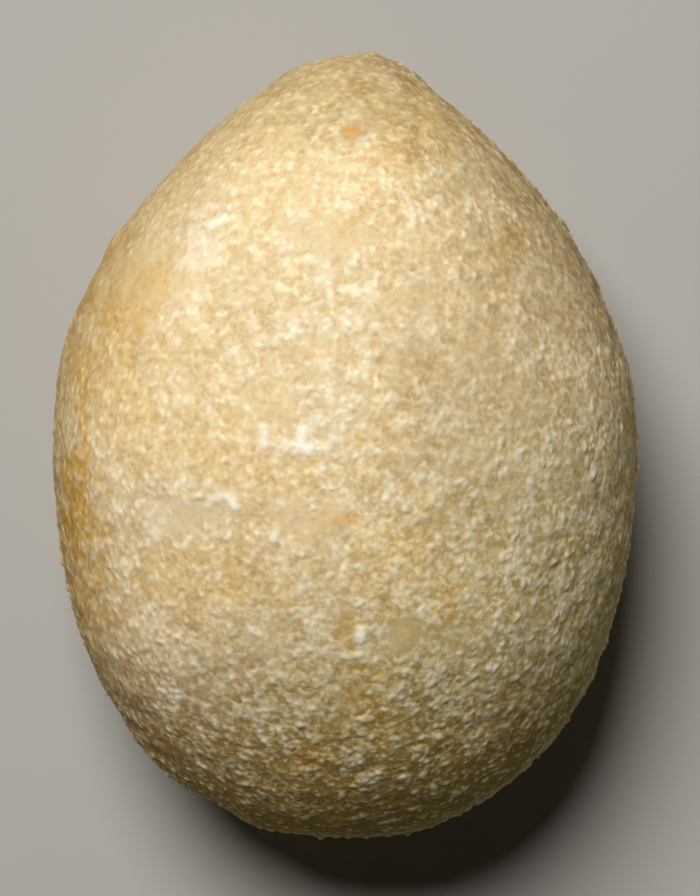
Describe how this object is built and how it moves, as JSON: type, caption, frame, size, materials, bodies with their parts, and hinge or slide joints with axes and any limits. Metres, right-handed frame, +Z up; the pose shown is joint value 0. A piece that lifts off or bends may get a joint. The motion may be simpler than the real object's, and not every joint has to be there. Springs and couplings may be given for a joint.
{
  "type": "fossil sea urchin",
  "caption": "Egg-shaped fossil sea urchin of pale granular stone, lying on its flattened underside, to display on a shelf or scatter as natural scenery.",
  "frame": {"origin": "bottom centre of the bounding box, on the surface that the fossil lies on", "axes": "+Y towards the narrow end, +Z up through the top of the dome"},
  "size_m": [0.0194, 0.0262, 0.0151],
  "materials": {
    "fossil_stone": "dry matt limestone, pale ochre with chalk-white grains and orange iron stains"
  },
  "bodies": {
    "root": {"test": "fossil_stone"}
  },
  "joints": []
}
